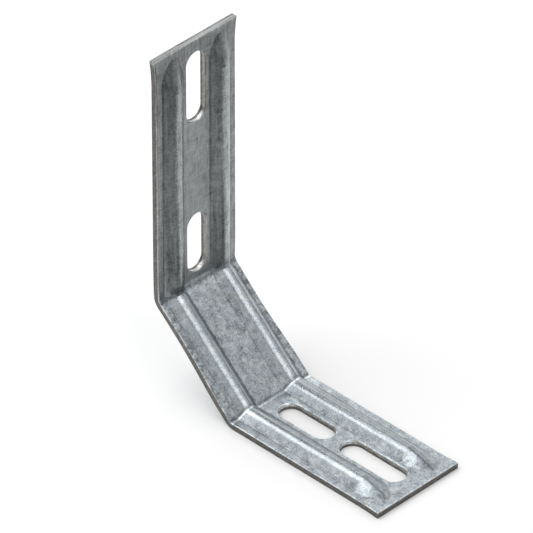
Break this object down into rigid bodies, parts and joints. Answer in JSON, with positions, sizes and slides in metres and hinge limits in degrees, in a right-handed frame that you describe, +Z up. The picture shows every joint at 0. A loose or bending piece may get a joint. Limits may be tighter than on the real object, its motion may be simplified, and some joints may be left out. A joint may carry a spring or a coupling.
{
  "type": "insulation fixing bracket",
  "caption": "Galvanised sheet steel angle bracket with a slanted corner, pressed stiffening ribs and fixing slots in both legs.",
  "frame": {"origin": "underside of the foot, on its centreline, midway between the centres of its two slots", "axes": "+X across the strip, +Y along the foot towards its free end, +Z up, along the upright"},
  "size_m": [0.04, 0.1099, 0.1379],
  "materials": {
    "zinc_sheet": "hot-dip galvanised, satin zinc with faint spangle and grey stains"
  },
  "bodies": {
    "root": {"bracket": "zinc_sheet"}
  },
  "joints": []
}
